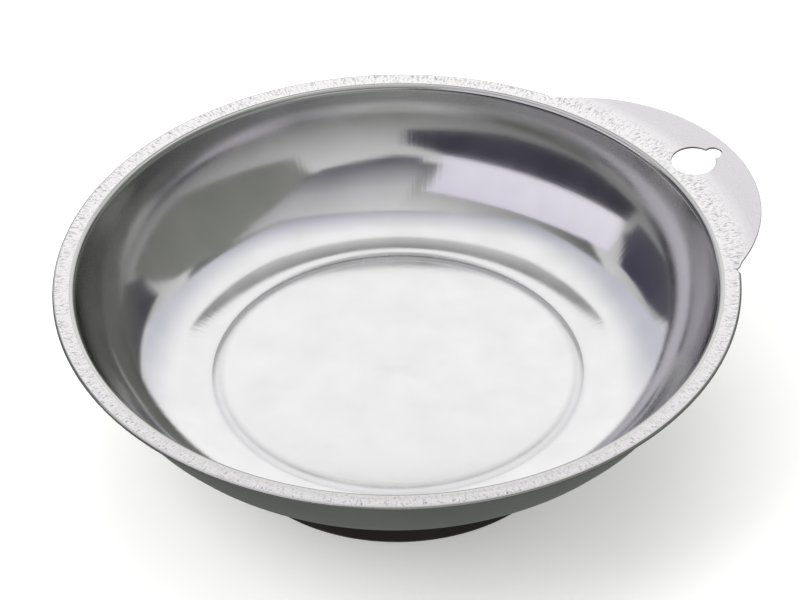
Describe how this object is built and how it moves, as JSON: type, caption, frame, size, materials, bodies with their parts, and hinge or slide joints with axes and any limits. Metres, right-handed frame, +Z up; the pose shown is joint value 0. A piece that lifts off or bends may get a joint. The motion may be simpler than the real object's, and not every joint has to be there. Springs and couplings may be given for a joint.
{
  "type": "magnetic parts tray",
  "caption": "Round stainless dish with a hemmed rim and a keyhole hanging tab, on a rubber-booted ring magnet foot, for holding small loose parts.",
  "frame": {"origin": "centre of the bowl's raised flat floor, on its upper face, on the bowl's axis", "axes": "+Z up out of the bowl, +X along the hanging tab, away from the bowl"},
  "size_m": [0.1629, 0.15, 0.0425],
  "materials": {
    "stainless": "bright drawn stainless sheet, polished inside",
    "ferrite": "ground sintered ferrite",
    "plated_steel": "bright zinc plate",
    "black_rubber": "moulded, fine matt"
  },
  "bodies": {
    "root": {"bowl": "stainless", "ring_magnet": "ferrite", "backing_plate": "plated_steel", "rubber_boot": "black_rubber", "weld_stud": "plated_steel", "plain_washer": "plated_steel", "spring_washer": "plated_steel", "hex_nut": "plated_steel"}
  },
  "joints": []
}
